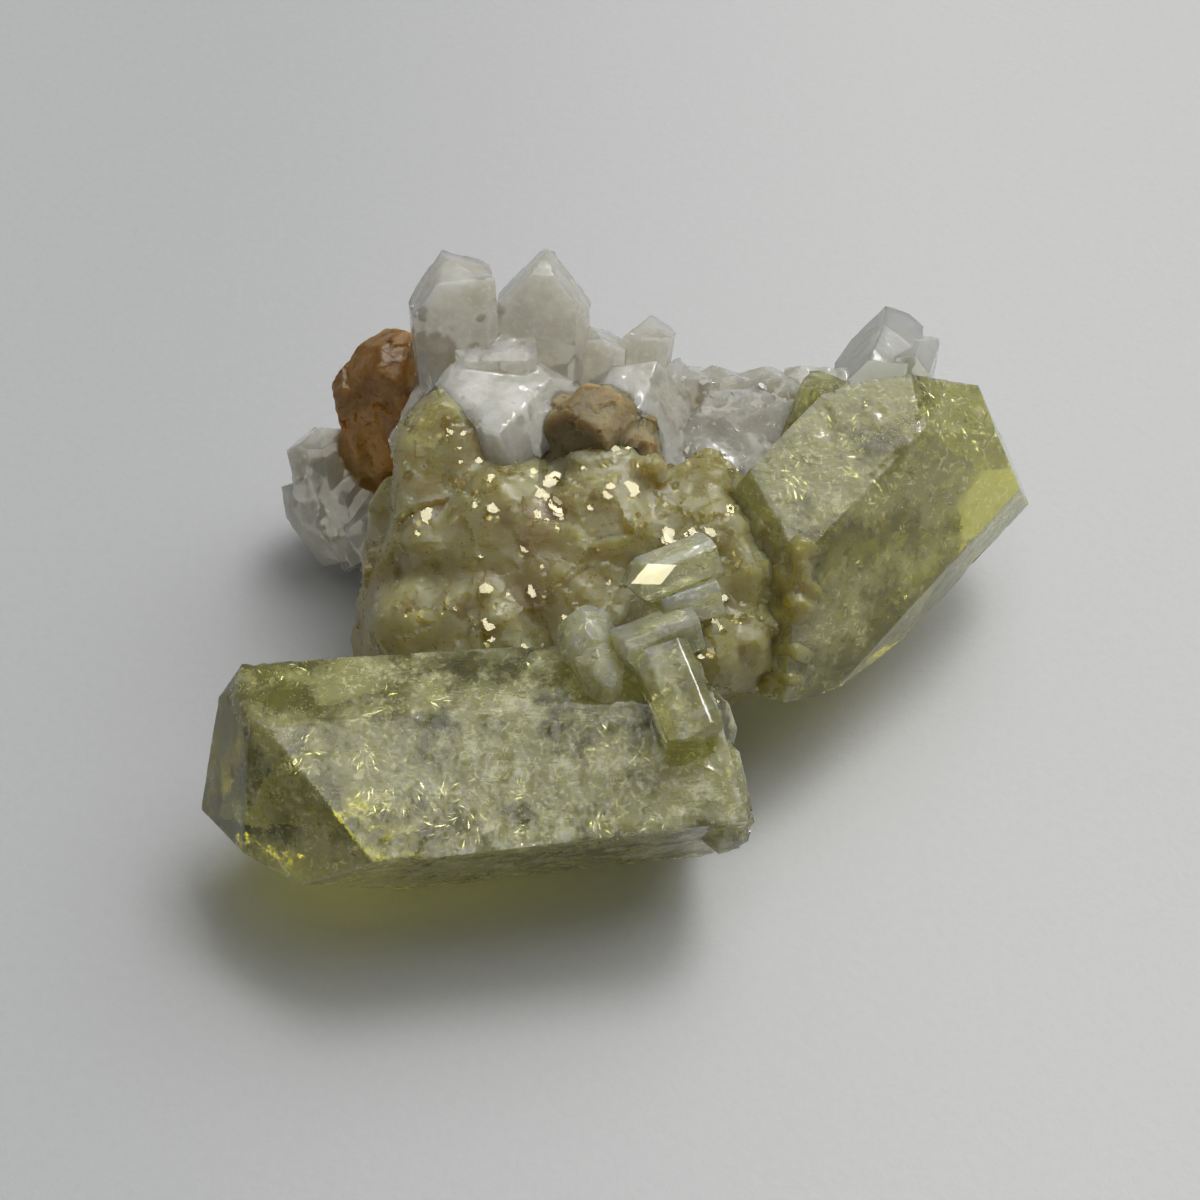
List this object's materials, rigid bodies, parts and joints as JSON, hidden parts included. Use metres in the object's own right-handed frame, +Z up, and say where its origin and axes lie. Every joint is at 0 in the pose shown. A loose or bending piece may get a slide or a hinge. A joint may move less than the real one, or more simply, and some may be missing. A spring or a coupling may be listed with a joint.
{
  "type": "brazilianite crystals on albite",
  "caption": "Natural mineral specimen: stout yellow-green brazilianite prisms and a druse grown on white bladed albite, resting on a flat broken underside",
  "frame": {"origin": "centre of the bounding box's bottom, on the plane of the flat underside", "axes": "+X to the right along the large front crystal, +Y to the back where the albite blades stand, +Z up"},
  "size_m": [0.04, 0.0306, 0.0194],
  "materials": {
    "brazilianite": "clear yellow-green crystal, vitreous, with veils and frosted faces",
    "pale_brazilianite": "pale straw crystal, vitreous",
    "cluster_brazilianite": "translucent olive-yellow druse, glittering",
    "albite": "translucent white, sugary",
    "stained_albite": "iron-brown, satin",
    "clear_albite": "nearly colourless, vitreous"
  },
  "bodies": {
    "root": {"brazilianite_front_crystal": "brazilianite", "brazilianite_right_crystal": "brazilianite", "brazilianite_small_crystals": "pale_brazilianite", "brazilianite_cluster": "cluster_brazilianite", "albite_matrix": "albite", "stained_albite_crystals": "stained_albite", "stained_albite_knob": "stained_albite", "clear_albite_crystal": "clear_albite"}
  },
  "joints": []
}
